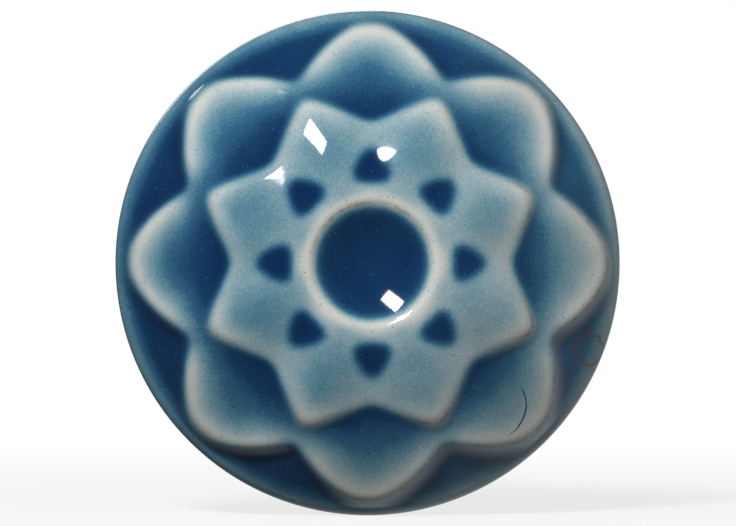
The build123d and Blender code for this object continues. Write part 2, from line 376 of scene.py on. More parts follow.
def crest_line_and_lip_shadow():
    """Brown line where the clay grins through at the crests, on the side away from the thick glaze; and a
    brown painted shadow inside the bowl, under its upper lip.
    """
    away = ramp_up(np.cos(np.arctan2(v, u) - CREST_LINE_SIDE), *CREST_LINE_FADE)
    petal = hump(in_petal - CREST_LINE_INSIDE, CREST_LINE_WIDTH) * ramp_up(meeting, *MEET_CLEAR)
    petal = np.where(in_star > 0, 0, petal)
    star = hump(in_star - CREST_LINE_INSIDE, CREST_LINE_WIDTH) * ramp_up(reach, *LOBE_TIPS)
    # painted shadow: a brown line inside the bowl, under its upper lip, where the lip shades the wall
    lip = hump(reach - BOWL_POOL_EDGE - LIP_SHADOW_OUT * CREST_LINE_WIDTH, CREST_LINE_WIDTH)
    lip *= ramp_up(v, *LIP_SHADOW_FADE)
    return blur(np.maximum(petal, star) * away + lip, CREST_LINE_SOFTNESS)


clay = moulded_height()
glazed = blur(clay, LIP_SOFTNESS)
glazed += (blur(clay, WALL_SOFTNESS) - glazed) * ramp_up(reach, LIP_OUTER, RECESS_BASE)
glaze = glaze_depth()
# crest line, and the painted shadow inside the bowl's upper lip
crest = crest_line_and_lip_shadow()

# ---- mesh helpers ----


def arc(centre, radius, start, end, count):
    """Points along an arc, in degrees, as an array of (radius, height)."""
    turn = np.radians(np.linspace(start, end, count))
    return np.stack([centre[0] + radius * np.cos(turn), centre[1] + radius * np.sin(turn)], axis=1)


def outward(mesh):
    """Turn every face of a closed mesh outwards."""
    work = bmesh.new()
    work.from_mesh(mesh)
    bmesh.ops.recalc_face_normals(work, faces=work.faces)
    work.to_mesh(mesh)
    work.free()


def skin(name, rings, start=None, end=None, loop=False):
    """A closed mesh over rings of points. Either start and end are points that close its two ends, or
    loop joins the last ring to the first."""
    rings = np.asarray(rings, dtype=float)
    rows, count, _ = rings.shape
    points = rings.reshape(-1, 3).tolist()
    row_ids = np.arange(rows if loop else rows - 1)[:, None]
    here = np.arange(count)[None, :]
    after = (here + 1) % count
    upper = (row_ids + 1) % rows
    quads = np.stack([row_ids * count + here, row_ids * count + after, upper * count + after,
                      upper * count + here], axis=-1)
    faces = quads.reshape(-1, 4).tolist()
    for tip, row in ((start, 0), (end, rows - 1)):
        if tip is not None:
            points.append(tuple(tip))
            base = row * count
            faces += [[base + (k + 1) % count, base + k, len(points) - 1] for k in range(count)]
    mesh = bpy.data.meshes.new(name)
    mesh.from_pydata(points, [], faces)
    mesh.validate()
    obj = bpy.data.objects.new(name, mesh)
    bpy.context.scene.collection.objects.link(obj)
    outward(mesh)
    mesh.polygons.foreach_set("use_smooth", [True] * len(mesh.polygons))
    return obj


def turned_rings(outline, count):
    """Rings round the Y axis from an outline of (radius, y)."""
    turn = np.linspace(0, 2 * pi, count, endpoint=False)
    radius = np.asarray(outline)[:, 0][:, None]
    y = np.asarray(outline)[:, 1][:, None] + 0 * turn[None, :]
    return np.stack([radius * np.cos(turn), y, radius * np.sin(turn)], axis=-1)


def place(obj, body, node, material):
    """Put a piece on its body, in the place of its CAD node and material."""
    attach(obj, body)
    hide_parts(node)
    obj.data.materials.append(material)
    return obj


# ---- the head ----

AROUND = 512
FRONT_ROWS = 170
RIM_STEPS = 18
UNDERSIDE_STEPS = 26
FILLET_STEPS = 16
NECK_STEPS = 12
FOOT_STEPS = 7
SOLE_STEPS = 6
EDGE_BLEND = 0.5 * MM  # the relief fades into the plain dome over this, at the rim's round


def head_back():
    """Outline from the dome's edge round the rim, under the head, down the neck and up the socket's wall,
    as (radius, height), and the height at which the socket ends."""
    lean = np.degrees(np.arctan2(rim_height - ball_centre, RIM_CENTRE))
    under = np.degrees(UNDERSIDE_SLOPE) - 90
    rim = arc((RIM_CENTRE, rim_height), RIM_ROUND, lean, under, RIM_STEPS)
    corner_height = rim[-1][1] - (rim[-1][0] - NECK_RADIUS) * tan(UNDERSIDE_SLOPE)
    set_back = NECK_FILLET * tan((pi / 2 - UNDERSIDE_SLOPE) / 2)
    fillet_centre = (NECK_RADIUS + NECK_FILLET, corner_height - set_back)
    fillet = arc(fillet_centre, NECK_FILLET, 90 + np.degrees(UNDERSIDE_SLOPE), 180, FILLET_STEPS)
    flat = np.linspace(rim[-1], fillet[0], UNDERSIDE_STEPS)[1:-1]
    foot = arc((NECK_RADIUS - NECK_EDGE, NECK_FOOT + NECK_EDGE), NECK_EDGE, 0, -90, FOOT_STEPS)
    neck = np.linspace(fillet[-1], foot[0], NECK_STEPS)[1:-1]
    sole = np.linspace(foot[-1], (SOCKET_RADIUS, NECK_FOOT), SOLE_STEPS)[1:]
    socket_end = NECK_FOOT + SOCKET_DEPTH
    socket = np.array([(SOCKET_RADIUS, socket_end)])
    return np.concatenate([rim, flat, fillet, neck, foot, sole, socket]), socket_end


def build_head():
    """The glazed head: its front follows the relief's height field, and its back is turned."""
    back, socket_end = head_back()
    edge = back[0][0]
    radii = np.linspace(edge / FRONT_ROWS, edge, FRONT_ROWS)[:-1]
    turn = np.linspace(0, 2 * pi, AROUND, endpoint=False)
    plan_u = radii[:, None] * np.cos(turn) / HEAD_RADIUS
    plan_v = radii[:, None] * np.sin(turn) / HEAD_RADIUS
    dome = ball_height(radii)[:, None]
    keep = 1 - ramp_up(radii, edge - EDGE_BLEND, edge)[:, None]
    height = rim_height + dome + (read_field(glazed, plan_u, plan_v) - dome) * keep
    height = np.minimum(height, FRONT)
    front = np.stack([radii[:, None] * np.cos(turn), -height, radii[:, None] * np.sin(turn)], axis=-1)
    behind = turned_rings(np.stack([back[:, 0], -back[:, 1]], axis=1), AROUND)
    middle = (0, -(rim_height + read_field(glazed, np.zeros(1), np.zeros(1))[0]), 0)
    head = skin("glazed_head", np.concatenate([front, behind]), start=middle, end=(0, -socket_end, 0))
    write_glaze(head.data)
    return head


def write_glaze(mesh):
    """Per-vertex glaze depth, bare clay, and crest line with the bowl's painted shadow, for the glaze
    material.
    """
    co = np.empty(len(mesh.vertices) * 3)
    mesh.vertices.foreach_get("co", co)
    x, y, z = co.reshape(-1, 3).T
    height = -y
    above_foot = height - NECK_FOOT
    behind = height < rim_height + (np.hypot(x, z) - RIM_CENTRE) * UNDER_LEAN
    turn = np.arctan2(z, x)
    run = 0.5 + 0.5 * np.sin(3 * turn + 0.8) * np.sin(5 * turn + 2.0)  # from 0 to 1, uneven all round
    under = UNDER_DEPTH + UNDER_RIM_GAIN * ramp_up(height, NECK_FOOT, rim_height) - UNDER_RUNS * run
    under -= UNDER_FOOT_THINNING * (1 - ramp_up(above_foot, *UNDER_FOOT_FADE))
    depth = np.where(behind, under, read_field(glaze, x / HEAD_RADIUS, z / HEAD_RADIUS))
    edge = GLAZE_LINE + GLAZE_LINE_WAVER * (run - 0.5)
    bare = 1 - ramp_up(above_foot, edge - GLAZE_LINE_SOFTNESS, edge + GLAZE_LINE_SOFTNESS)
    bare = np.where(behind, bare, 0)
    line = np.where(behind, 0, read_field(crest, x / HEAD_RADIUS, z / HEAD_RADIUS))
    for name, values in (("glaze_depth", depth), ("bare_clay", bare), ("crest_line_and_lip_shadow", line)):
        mesh.attributes.new(name, "FLOAT", "POINT").data.foreach_set("value", values.astype(np.float32))


# ---- hardware shapes ----

PITCH = 0.7 * MM  # metric thread, and the nut's travel for one turn
THREAD_DEPTH = 0.43 * MM
THREAD_CREST = 0.125  # share of the pitch
THREAD_ROOT = 0.25
THREAD_SLACK = 0.04 * MM  # nut's thread beyond the bolt's
BOLT_SLACK = 0.02 * MM  # bolt's crests inside its nominal size
BOLT_RADIUS = 2.0 * MM
BOLT_HEAD = 2.8 * MM
BOLT_POINT = 0.5 * MM
BARE_SHANK = 2 * PITCH  # under the bolt's head, without a thread
NUT_SINK = 0.2 * MM

HEX_CORNER_ROUND = 0.06 * MM
HEX_TURNED = 0.42 * MM  # height of the turned-off corners
HEX_TURNED_ANGLE = radians(30)
HEX_BEARING = 0.95  # turned face's radius, of the hexagon's flats

COLLAR_BORE = 2.2 * MM
COLLAR_BORE_EDGE = 0.15 * MM
FLANGE_THICKNESS = 1.8 * MM
FLANGE_BACK_EDGE = 0.25 * MM
FLANGE_SHOULDER = 1.1 * MM  # from the flange's back to its widest edge's shoulder
FLANGE_SHOULDER_ROUND = 0.45 * MM
FLANGE_STEP = 1.45 * MM  # from the flange's back to the small step in front of the shoulder
FLANGE_STEP_IN = 0.7 * MM
FLANGE_FRONT_IN = 0.9 * MM
FLANGE_STEP_EDGE = 0.12 * MM
WAIST_RADIUS = 6.2 * MM
WAIST_COVE = 1.62 * MM
CUP_RADIUS = 8.35 * MM
CUP_LIP = 1.6 * MM
CUP_FOOT_EDGE = 0.3 * MM
CUP_FRONT_EDGE = 0.38 * MM

GASKET_BORE = 2.2 * MM
GASKET_EDGE = 0.24 * MM
WASHER_SLACK = 0.15 * MM
STAMPED_EDGE = 0.07 * MM  # side that lay on the die
PUNCHED_RIM_EDGE = 0.28 * MM
PUNCHED_BORE_EDGE = 0.2 * MM
LOCK_SLACK = 0.08 * MM
LOCK_EDGE = 0.16 * MM
LOCK_GAP = 0.5 * MM
LOCK_SLANT = 0.5 * MM

HARDWARE_AROUND = 48
TURNED_AROUND = 192
ROWS_PER_PITCH = 20
HEX_STEPS = 6
EDGE_STEPS = 6
COLLAR_EDGE_STEPS = 8
LOCK_EDGE_STEPS = 5
LOCK_STEPS = 121
SHARP = 35  # degrees from which an edge is shaded as sharp
THREAD_SHARP = 40


def corner_turn(a, b, c, size, steps):
    """Points of the round, of this radius, at corner b of an outline."""
    before = (a - b) / np.linalg.norm(a - b)
    after = (c - b) / np.linalg.norm(c - b)
    half = np.arccos(np.clip(before @ after, -1, 1)) / 2
    middle = (before + after) / np.linalg.norm(before + after)
    centre = b + middle * size / sin(half)
    first = b + before * size / tan(half) - centre
    last = b + after * size / tan(half) - centre
    shares = np.linspace(0, 1, steps)[:, None]
    spread = np.arccos(np.clip(first @ last / size**2, -1, 1))
    return centre + (np.sin((1 - shares) * spread) * first + np.sin(shares * spread) * last) / sin(spread)


def rounded(corners, steps):
    """Closed outline of (radius, y) points from (radius, y, round) corners."""
    points = np.array([corner[:2] for corner in corners])
    outline = []
    for index, corner in enumerate(corners):
        after = points[(index + 1) % len(points)]
        outline.append(corner_turn(points[index - 1], points[index], after, corner[2], steps))
    return np.concatenate(outline)


def crisp(obj, degrees):
    """Shade smooth, except along edges sharper than this."""
    obj.data.set_sharp_from_angle(angle=radians(degrees))
    return obj


def thread_radius(y, turn, crest):
    """Radius of a right-handed thread at a place along the bolt and an angle from +X towards +Z."""
    from_crest = np.abs((y / PITCH + turn / (2 * pi)) % 1 - 0.5)
    flank = (from_crest - THREAD_CREST / 2) / (0.5 - (THREAD_CREST + THREAD_ROOT) / 2)
    return crest - THREAD_DEPTH * np.clip(flank, 0, 1)


def hexagon(turn, flat, corner_round):
    """Radius of a hexagon whose corners point along X, at each angle."""
    from_flat = (turn % (pi / 3)) - pi / 6
    return np.minimum(flat / np.cos(from_flat), flat / cos(pi / 6) - corner_round)


def ring_rows(rows, count):
    """Rings about the Y axis from (y, radius) rows, where a radius may be one number or one per angle."""
    turn = np.linspace(0, 2 * pi, count, endpoint=False)
    rings = []
    for y, radius in rows:
        radius = radius + 0 * turn
        rings.append(np.stack([radius * np.cos(turn), y + 0 * turn, radius * np.sin(turn)], axis=-1))
    return np.array(rings)


def hex_rows(low, high, flat, count):
    """Rows up the outside of a hexagon whose corners are turned off at both faces."""
    turn = np.linspace(0, 2 * pi, count, endpoint=False)
    shape = hexagon(turn, flat, HEX_CORNER_ROUND)
    rise = HEX_TURNED * np.linspace(0, 1, HEX_STEPS)
    rows = []
    for y in np.concatenate([low + rise, high - rise[::-1]]):
        cone = HEX_BEARING * flat + min(y - low, high - y) / tan(HEX_TURNED_ANGLE)
        rows.append((y, np.minimum(shape, cone)))
    return rows


def build_bolt():
    """Hex bolt threaded almost up to its head, which is buried in the knob."""
    flat = (bolt_high[2] - bolt_low[2]) / 2
    nominal = BOLT_RADIUS - BOLT_SLACK
    turn = np.linspace(0, 2 * pi, HARDWARE_AROUND, endpoint=False)
    low = bolt_low[1]
    seat = low + BOLT_HEAD
    rows = hex_rows(low, seat, flat, HARDWARE_AROUND)
    rows.append((seat, nominal - THREAD_DEPTH))
    places = np.arange(seat + BARE_SHANK, BOLT_END, PITCH / ROWS_PER_PITCH)
    for y in np.append(places, BOLT_END):
        point = BOLT_RADIUS - BOLT_POINT + (BOLT_END - y)
        rows.append((y, np.minimum(thread_radius(y, turn, nominal), point)))
    rings = ring_rows(rows, HARDWARE_AROUND)
    return crisp(skin("threaded_bolt", rings, start=(0, low, 0), end=(0, BOLT_END, 0)), THREAD_SHARP)


def build_nut():
    """Hex nut whose thread runs in the bolt's at every place along it."""
    flat = (nut_high[2] - nut_low[2]) / 2
    low, high = nut_low[1], nut_high[1]
    count = 2 * HARDWARE_AROUND
    turn = np.linspace(0, 2 * pi, count, endpoint=False)
    rows = hex_rows(low, high, flat, count)
    for y in np.arange(high, low, -PITCH / ROWS_PER_PITCH):
        bore = thread_radius(y, turn, BOLT_RADIUS - BOLT_SLACK + THREAD_SLACK)
        sink = BOLT_RADIUS + NUT_SINK - min(y - low, high - y)
        rows.append((y, np.maximum(bore, sink)))
    rows.append((low, BOLT_RADIUS + NUT_SINK))
    return crisp(skin("threaded_nut", ring_rows(rows, count), loop=True), SHARP)


def turned_piece(name, corners, steps):
    """A ring about the Y axis, from the (radius, y, round) corners of its section."""
    return skin(name, turned_rings(rounded(corners, steps), TURNED_AROUND), loop=True)


def build_collar():
    """Turned brass collar: flange, hollow waist and a cup under the knob's neck."""
    flange = collar_high[0]
    back = collar_high[1]
    front = collar_low[1]
    corners = [
        (COLLAR_BORE, back, COLLAR_BORE_EDGE),
        (flange, back, FLANGE_BACK_EDGE),
        (flange, back - FLANGE_SHOULDER, FLANGE_SHOULDER_ROUND),
        (flange - FLANGE_STEP_IN, back - FLANGE_STEP, FLANGE_STEP_EDGE),
        (flange - FLANGE_FRONT_IN, back - FLANGE_THICKNESS, FLANGE_STEP_EDGE),
        (WAIST_RADIUS, back - FLANGE_THICKNESS, WAIST_COVE),
        (WAIST_RADIUS, front + CUP_LIP, WAIST_COVE),
        (CUP_RADIUS, front + CUP_LIP, CUP_FOOT_EDGE),
        (CUP_RADIUS, front, CUP_FRONT_EDGE),
        (COLLAR_BORE, front, COLLAR_BORE_EDGE),
    ]
    return crisp(turned_piece("brass_collar", corners, COLLAR_EDGE_STEPS), SHARP)


def build_gasket():
    """Rubber ring, pressed so that its edges bulge."""
    outer = gasket_high[0]
    low, high = gasket_low[1], gasket_high[1]
    corners = [
        (GASKET_BORE, low, GASKET_EDGE),
        (outer, low, GASKET_EDGE),
        (outer, high, GASKET_EDGE),
        (GASKET_BORE, high, GASKET_EDGE),
    ]
    return turned_piece("rubber_gasket", corners, EDGE_STEPS)


def build_washer():
    """Stamped washer: rounded on the side the punch entered, with a sharper edge on the other."""
    bore, outer = BOLT_RADIUS + WASHER_SLACK, washer_high[0]
    low, high = washer_low[1], washer_high[1]
    corners = [
        (bore, low, STAMPED_EDGE),
        (outer, low, STAMPED_EDGE),
        (outer, high, PUNCHED_RIM_EDGE),
        (bore, high, PUNCHED_BORE_EDGE),
    ]
    return crisp(turned_piece("plain_washer", corners, EDGE_STEPS), SHARP)


def build_split_washer():
    """Spring washer: one turn of rounded wire with a slanting cut at the top."""
    bore, outer = BOLT_RADIUS + LOCK_SLACK, lock_high[0]
    low, high = lock_low[1], lock_high[1]
    corners = [
        (bore, low, LOCK_EDGE),
        (outer, low, LOCK_EDGE),
        (outer, high, LOCK_EDGE),
        (bore, high, LOCK_EDGE),
    ]
    radius, across = rounded(corners, LOCK_EDGE_STEPS).T
    half_gap = LOCK_GAP / 2 / radius
    slant = (across - (low + high) / 2) / (high - low) * LOCK_SLANT / radius
    shares = np.linspace(0, 1, LOCK_STEPS)[:, None]
    turn = pi / 2 + half_gap + slant + shares * (2 * pi - 2 * half_gap)
    y = np.broadcast_to(across, turn.shape)
    rings = np.stack([radius * np.cos(turn), y, radius * np.sin(turn)], axis=-1)
    return crisp(skin("split_washer", rings, start=rings[0].mean(axis=0), end=rings[-1].mean(axis=0)), SHARP)


# ---- materials ----

NOISE_RANGE = (0.3, 0.7)  # nearly all of a noise's values lie in here


def new_material(name):
    """A node material, its tree and its shader."""
    material = bpy.data.materials.new(name)
    material.use_nodes = True
    tree = material.node_tree
    shader = tree.nodes["Principled BSDF"]
    return material, tree, shader


def add(tree, kind, **values):
    """A node with its properties and its inputs, by name, or as i0, i1 and so on by place. A value that is
    a socket is linked."""
    node = tree.nodes.new(kind)
    for key, value in values.items():
        if hasattr(node, key):
            setattr(node, key, value)
    for key, value in values.items():
        if not hasattr(node, key):
            socket = node.inputs[int(key[1:])] if key[0] == "i" and key[1:].isdigit() else node.inputs[key]
            if isinstance(value, bpy.types.NodeSocket):
                tree.links.new(value, socket)
            else:
                socket.default_value = value
    return node


def math_node(tree, operation, a, b=0.0, c=0.0):
    """The result of a sum."""
    return add(tree, "ShaderNodeMath", operation=operation, i0=a, i1=b, i2=c).outputs[0]


def remap(tree, value, before, after, kind="LINEAR"):
    """A value taken from one range to another, and held at its ends."""
    node = add(tree, "ShaderNodeMapRange", Value=value, interpolation_type=kind)
    for name, number in zip(("From Min", "From Max", "To Min", "To Max"), (*before, *after)):
        node.inputs[name].default_value = number
    return node.outputs[0]


def mix_values(tree, share, low, high):
    """From one number to another."""
    return add(tree, "ShaderNodeMix", data_type="FLOAT", i0=share, i2=low, i3=high).outputs[0]


def mix_colours(tree, share, low, high):
    """From one colour to another."""
    return add(tree, "ShaderNodeMix", data_type="RGBA", i0=share, i6=low, i7=high).outputs[2]


def colours(tree, value, stops):
    """A colour ramp through (place, colour) stops."""
    ramp = tree.nodes.new("ShaderNodeValToRGB")
    tree.links.new(value, ramp.inputs["Fac"])
    marks = ramp.color_ramp.elements
    for mark, (place_at, colour) in zip(marks, (stops[0], stops[-1])):
        mark.position = place_at
        mark.color = (*colour, 1)
    for place_at, colour in stops[1:-1]:
        mark = marks.new(place_at)
        mark.color = (*colour, 1)
    return ramp.outputs["Color"]


def noise(tree, where, size, detail=2.0, roughness=0.5):
    """Noise whose blotches are about this size, in metres."""
    return add(tree, "ShaderNodeTexNoise", Vector=where, Scale=1 / size, Detail=detail,
               Roughness=roughness).outputs["Fac"]


def stray(tree, where, size, gain, detail, roughness=0.5):
    """Noise about 0, up to half of the gain to each side."""
    return math_node(tree, "MULTIPLY_ADD", noise(tree, where, size, detail, roughness), gain, -gain / 2)


def object_place(tree):
    """Each point's place on the piece, in metres."""
    return tree.nodes.new("ShaderNodeTexCoord").outputs["Object"]


def read_attribute(tree, name):
    """A number that is stored with the mesh."""
    return add(tree, "ShaderNodeAttribute", attribute_name=name).outputs["Fac"]


def tint(tree, shader, value, stops):
    """Base colour from a value."""
    tree.links.new(colours(tree, value, stops), shader.inputs["Base Color"])


def roughen(tree, shader, value, before, after):
    """Roughness from a value, taken from one range to another."""
    tree.links.new(remap(tree, value, before, after), shader.inputs["Roughness"])


def bump(tree, shader, height, depth, strength=1.0):
    """Fine relief from a value."""
    relief = add(tree, "ShaderNodeBump", Height=height, Strength=strength, Distance=depth)
    tree.links.new(relief.outputs[0], shader.inputs["Normal"])


def srgb(red, green, blue):
    """Linear colour from 8-bit display values."""
    out = []
    for value in (red, green, blue):
        value /= 255
        out.append(value / 12.92 if value <= 0.04045 else ((value + 0.055) / 1.055) ** 2.4)
    return tuple(out)


GLAZE_COLOURS = [
    (0.00, srgb(232, 228, 218)),
    (0.15, srgb(206, 210, 204)),
    (0.30, srgb(158, 181, 187)),
    (0.45, srgb(103, 147, 163)),
    (0.60, srgb(52, 103, 135)),
    (0.80, srgb(20, 62, 101)),
    (1.00, srgb(6, 45, 87)),
]
CLAY_COLOURS = [(0.3, srgb(196, 178, 152)), (0.7, srgb(222, 208, 184))]
CLAY_BLOTCH = 0.5 * MM
GLAZE_ROUGHNESS = 0.07
CLAY_ROUGHNESS = 0.85
CLOUD_SIZE = 3.5 * MM
CLOUD_GAIN = 0.18  # of the glaze's depth
GRAIN_SIZE = 0.20 * MM
GRAIN_GAIN = 0.26
RIPPLE_SIZE = 1.3 * MM
RIPPLE_DEPTH = 0.05 * MM
RIPPLE_STRENGTH = 0.06

# Arcs on the face: right, up and radius place the circle, low and high bound the arc, and left is how far
# left of the centre it may reach. All these are in head radii; width and waver are in metres.
HAIRLINE = dict(right=0.481, up=-0.560, radius=0.133, low=-0.69, high=-0.47, left=0.0,
                width=0.05 * MM, waver=0.05 * MM)
STAIN = dict(right=0.870, up=-0.340, radius=0.060, low=-0.45, high=-0.22, left=-0.1,
             width=0.14 * MM, waver=0.3 * MM)
HAIRLINE_DEPTH = 0.84  # glaze depth that the hairline looks like
STAIN_COLOUR = srgb(112, 72, 66)
STAIN_STRENGTH = 0.55
MARK_WAVE = 1.2 * MM
MARK_FADE = 0.06  # in head radii, at an arc's two ends

# brown of the crest line, also used for the painted shadow inside the bowl's upper lip
CREST_LINE_AND_LIP_SHADOW_COLOUR = srgb(112, 96, 80)
CREST_LINE_AND_LIP_SHADOW_STRENGTH = 0.75
CREST_BREAK_SIZE = 0.9 * MM  # the line comes and goes over this length
CREST_BREAKS = (0.38, 0.62)

SPECK_CELL = 0.42 * MM  # one spot or none in each cell
SPECK_CHANCE = 0.86  # cells above this have one
SPECK_EDGE = (0.10, 0.20)  # of the cell
SPECK_STRENGTH = 0.75
SPECK_DEPTH = 0.52  # glaze depth that a spot looks like


def arc_mark(tree, where, right, up, radius, low, high, left, width, waver):
    """1 on an arc drawn on the face, 0 off it."""
    parts = add(tree, "ShaderNodeSeparateXYZ", Vector=where)
    x = math_node(tree, "SUBTRACT", parts.outputs[0], right * HEAD_RADIUS)
    z = math_node(tree, "SUBTRACT", parts.outputs[2], up * HEAD_RADIUS)
    offset = add(tree, "ShaderNodeCombineXYZ", X=x, Z=z).outputs[0]
    away = add(tree, "ShaderNodeVectorMath", operation="LENGTH", i0=offset).outputs["Value"]
    away = math_node(tree, "ADD", away, stray(tree, where, MARK_WAVE, 4 * waver, 3))
    off = math_node(tree, "ABSOLUTE", math_node(tree, "SUBTRACT", away, radius * HEAD_RADIUS))
    start = (low * HEAD_RADIUS, (low + MARK_FADE) * HEAD_RADIUS)
    end = ((high - MARK_FADE) * HEAD_RADIUS, high * HEAD_RADIUS)
    mark = remap(tree, off, (width / 2, 1.5 * width), (1, 0), "SMOOTHSTEP")
    for mask in (remap(tree, parts.outputs[2], start, (0, 1), "SMOOTHSTEP"),
                 remap(tree, parts.outputs[2], end, (1, 0), "SMOOTHSTEP"),
                 math_node(tree, "GREATER_THAN", x, left * HEAD_RADIUS),
                 math_node(tree, "LESS_THAN", parts.outputs[1], -rim_height)):
        mark = math_node(tree, "MULTIPLY", mark, mask)
    return mark


def specks(tree, where):
    """Pinholes and dots in the glaze: one small spot in some of the cells."""
    cells = add(tree, "ShaderNodeTexVoronoi", Vector=where, Scale=1 / SPECK_CELL, Randomness=1.0)
    chance = add(tree, "ShaderNodeSeparateXYZ", Vector=cells.outputs["Color"])
    some = math_node(tree, "GREATER_THAN", chance.outputs[0], SPECK_CHANCE)
    spot = remap(tree, cells.outputs["Distance"], SPECK_EDGE, (SPECK_STRENGTH, 0), "SMOOTHSTEP")
    return math_node(tree, "MULTIPLY", spot, some)


def glaze_colour(tree, where):
    """Colour of the glaze, from its depth, with its clouds, grain, spots and lines; one line is a painted
    shadow inside the bowl's upper lip.
    """
    depth = read_attribute(tree, "glaze_depth")
    depth = math_node(tree, "ADD", depth, stray(tree, where, CLOUD_SIZE, CLOUD_GAIN, 3))
    depth = math_node(tree, "ADD", depth, stray(tree, where, GRAIN_SIZE, GRAIN_GAIN, 3, 0.7))
    depth = mix_values(tree, arc_mark(tree, where, **HAIRLINE), depth, HAIRLINE_DEPTH)
    depth = mix_values(tree, specks(tree, where), depth, SPECK_DEPTH)
    colour = colours(tree, depth, GLAZE_COLOURS)
    # crest line, and the painted shadow inside the bowl's upper lip, in brown
    broken = remap(tree, noise(tree, where, CREST_BREAK_SIZE, 3, 0.6), CREST_BREAKS, (0, 1))
    line = math_node(tree, "MULTIPLY", read_attribute(tree, "crest_line_and_lip_shadow"), broken)
    line = math_node(tree, "MULTIPLY", line, CREST_LINE_AND_LIP_SHADOW_STRENGTH)
    colour = mix_colours(tree, line, colour, (*CREST_LINE_AND_LIP_SHADOW_COLOUR, 1))
    stain = math_node(tree, "MULTIPLY", arc_mark(tree, where, **STAIN), STAIN_STRENGTH)
    return mix_colours(tree, stain, colour, (*STAIN_COLOUR, 1))


def glaze_material():
    """Celadon glaze, and the bare clay at the neck's foot."""
    material, tree, shader = new_material("celadon_glaze")
    where = object_place(tree)
    bare = read_attribute(tree, "bare_clay")
    clay_colour = colours(tree, noise(tree, where, CLAY_BLOTCH, 4), CLAY_COLOURS)
    colour = mix_colours(tree, bare, glaze_colour(tree, where), clay_colour)
    tree.links.new(colour, shader.inputs["Base Color"])
    roughen(tree, shader, bare, (0, 1), (GLAZE_ROUGHNESS, CLAY_ROUGHNESS))
    bump(tree, shader, noise(tree, where, RIPPLE_SIZE), RIPPLE_DEPTH, RIPPLE_STRENGTH)
    return material


TARNISH_SIZE = 2.2 * MM
TARNISH_SHARE = 0.75  # the rest of the colour's change is the grain's
LATHE_DEPTH = 0.012 * MM
METAL_GRAIN_DEPTH = 0.006 * MM


def turned_place(tree):
    """Coordinates in which noise makes rings about the Y axis."""
    parts = add(tree, "ShaderNodeSeparateXYZ", Vector=object_place(tree))
    flat = add(tree, "ShaderNodeCombineXYZ", X=parts.outputs[0], Y=parts.outputs[2])
    reach = add(tree, "ShaderNodeVectorMath", operation="LENGTH", i0=flat.outputs[0]).outputs["Value"]
    return add(tree, "ShaderNodeCombineXYZ", X=reach, Y=parts.outputs[1]).outputs[0]


def metal_material(name, stops, rough, grain_size, ring_size=None):
    """Metal with clouds of tarnish, fine grain, and the rings of the lathe where it is turned."""
    material, tree, shader = new_material(name)
    shader.inputs["Metallic"].default_value = 1.0
    where = object_place(tree)
    clouds = noise(tree, where, TARNISH_SIZE, 4, 0.6)
    grain = noise(tree, where, grain_size, 3, 0.7)
    fine = math_node(tree, "MULTIPLY", grain, 1 - TARNISH_SHARE)
    tint(tree, shader, math_node(tree, "MULTIPLY_ADD", clouds, TARNISH_SHARE, fine), stops)
    roughen(tree, shader, grain, NOISE_RANGE, rough)
    if ring_size:
        bump(tree, shader, noise(tree, turned_place(tree), ring_size), LATHE_DEPTH)
    else:
        bump(tree, shader, grain, METAL_GRAIN_DEPTH)
    return material


def brass_material():
    """Aged brass, turned."""
    stops = [(0.30, srgb(96, 70, 42)), (0.45, srgb(158, 122, 68)), (0.60, srgb(196, 158, 92)),
             (0.75, srgb(212, 178, 112))]
    return metal_material("aged_brass", stops, (0.24, 0.42), grain_size=0.12 * MM, ring_size=0.10 * MM)


def zinc_material():
    """Zinc plate, for the bolt, nut and flat washer."""
    stops = [(0.30, srgb(150, 153, 158)), (0.50, srgb(186, 189, 194)), (0.70, srgb(212, 213, 210))]
    return metal_material("zinc_plate", stops, (0.22, 0.38), grain_size=0.09 * MM)


def spring_material():
    """Dark spring steel."""
    stops = [(0.30, srgb(62, 61, 63)), (0.50, srgb(88, 87, 89)), (0.70, srgb(118, 114, 108))]
    return metal_material("spring_steel", stops, (0.34, 0.55), grain_size=0.11 * MM)


def rubber_material():
    """Black rubber with a little dust."""
    material, tree, shader = new_material("gasket_rubber")
    where = object_place(tree)
    dust = noise(tree, where, 0.8 * MM, 4, 0.7)
    grain = noise(tree, where, 0.07 * MM)
    tint(tree, shader, dust, [(0.35, srgb(34, 34, 35)), (0.55, srgb(46, 45, 45)), (0.75, srgb(70, 67, 64))])
    roughen(tree, shader, grain, NOISE_RANGE, (0.55, 0.8))
    bump(tree, shader, grain, 0.01 * MM)
    return material


def cement_material():
    """Set cement, sandy and pale."""
    material, tree, shader = new_material("set_cement")
    where = object_place(tree)
    sand = noise(tree, where, 0.18 * MM, 4, 0.75)
    stops = [(0.3, srgb(140, 134, 122)), (0.5, srgb(182, 176, 163)), (0.7, srgb(205, 200, 188))]
    tint(tree, shader, sand, stops)
    roughen(tree, shader, sand, NOISE_RANGE, (0.8, 0.95))
    bump(tree, shader, sand, 0.03 * MM)
    return material


def finish_cad_node(node, material):
    """Give a CAD node that keeps its shape its real material."""
    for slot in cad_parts[node].material_slots:
        slot.material = material


zinc = zinc_material()
place(build_head(), "knob", "knob_head", glaze_material())
place(build_collar(), "knob", "base_collar", brass_material())
place(build_gasket(), "knob", "seat_gasket", rubber_material())
place(build_bolt(), "knob", "mounting_bolt", zinc)
place(build_washer(), "washers", "flat_washer", zinc)
place(build_split_washer(), "washers", "lock_washer", spring_material())
place(build_nut(), "nut", "hex_nut", zinc)
finish_cad_node("cement_fill", cement_material())

# ---- surroundings ----

